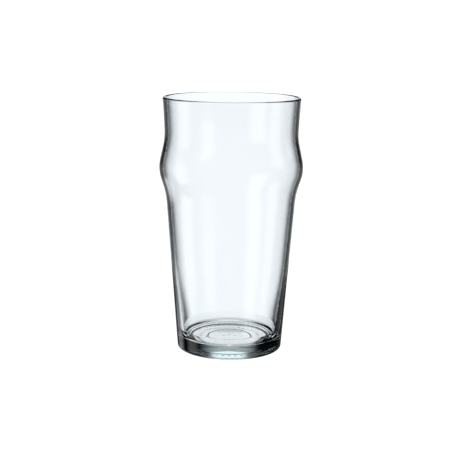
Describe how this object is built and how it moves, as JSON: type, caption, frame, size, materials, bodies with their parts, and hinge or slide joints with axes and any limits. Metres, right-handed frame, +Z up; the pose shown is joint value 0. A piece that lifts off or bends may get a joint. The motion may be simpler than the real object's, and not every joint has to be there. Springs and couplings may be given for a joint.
{
  "type": "pint glass",
  "caption": "Clear tapered beer glass with a grip bulge below the mouth, a slightly flared rim and a thick foot.",
  "frame": {"origin": "middle of the foot, on the surface that the glass stands on", "axes": "+Z up along the glass's axis, from the foot to the mouth; the glass is the same all round, so X and Y are free"},
  "size_m": [0.0856, 0.0856, 0.152],
  "materials": {
    "glass": "clear, fire-polished"
  },
  "bodies": {
    "root": {"glass_body": "glass"}
  },
  "joints": []
}
